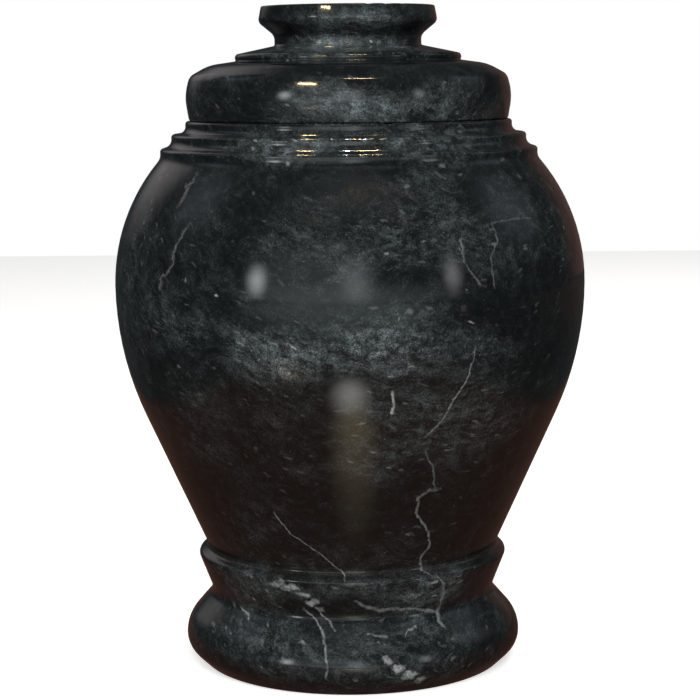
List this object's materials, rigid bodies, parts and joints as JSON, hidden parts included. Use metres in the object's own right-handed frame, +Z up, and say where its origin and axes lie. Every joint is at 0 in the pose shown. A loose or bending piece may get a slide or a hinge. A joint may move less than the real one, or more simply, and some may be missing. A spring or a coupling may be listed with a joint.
{
  "type": "cremation urn",
  "caption": "Hollow cremation urn turned from polished black veined marble: spread foot, collar, full belly, stepped shoulder rings and a lift-off domed lid with a flared knob.",
  "frame": {"origin": "centre of the underside, on the surface that the urn stands on", "axes": "+Z up along the turning axis; -Y faces the viewer in the main view"},
  "size_m": [0.2, 0.2, 0.2804],
  "materials": {
    "body_marble": "polished black marble with grey clouds, white flecks and thin white veins",
    "lid_marble": "polished black marble with denser grey clouds and white flecks"
  },
  "bodies": {
    "root": {"urn_body": "body_marble", "lid": "lid_marble"}
  },
  "joints": []
}
